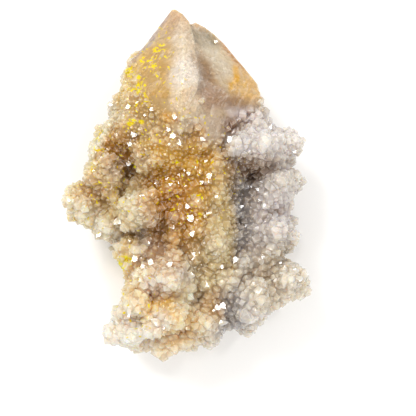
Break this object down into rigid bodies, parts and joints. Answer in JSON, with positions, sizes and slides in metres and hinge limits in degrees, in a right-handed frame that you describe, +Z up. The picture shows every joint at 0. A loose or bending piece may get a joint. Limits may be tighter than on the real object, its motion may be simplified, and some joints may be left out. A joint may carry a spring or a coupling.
{
  "type": "spirit quartz",
  "caption": "Natural spirit quartz specimen: a large quartz point whose flanks are covered in small stout crystals, lying on its broken flat back.",
  "frame": {"origin": "middle of the bounding box at the level of the flat underside", "axes": "+Y towards the tip of the large points, +Z up from the resting face, +X to the right when looking down on it with the tip away"},
  "size_m": [0.0534, 0.0732, 0.0302],
  "materials": {
    "spirit_quartz": "satin"
  },
  "bodies": {
    "root": {"spirit_quartz": "spirit_quartz"}
  },
  "joints": []
}
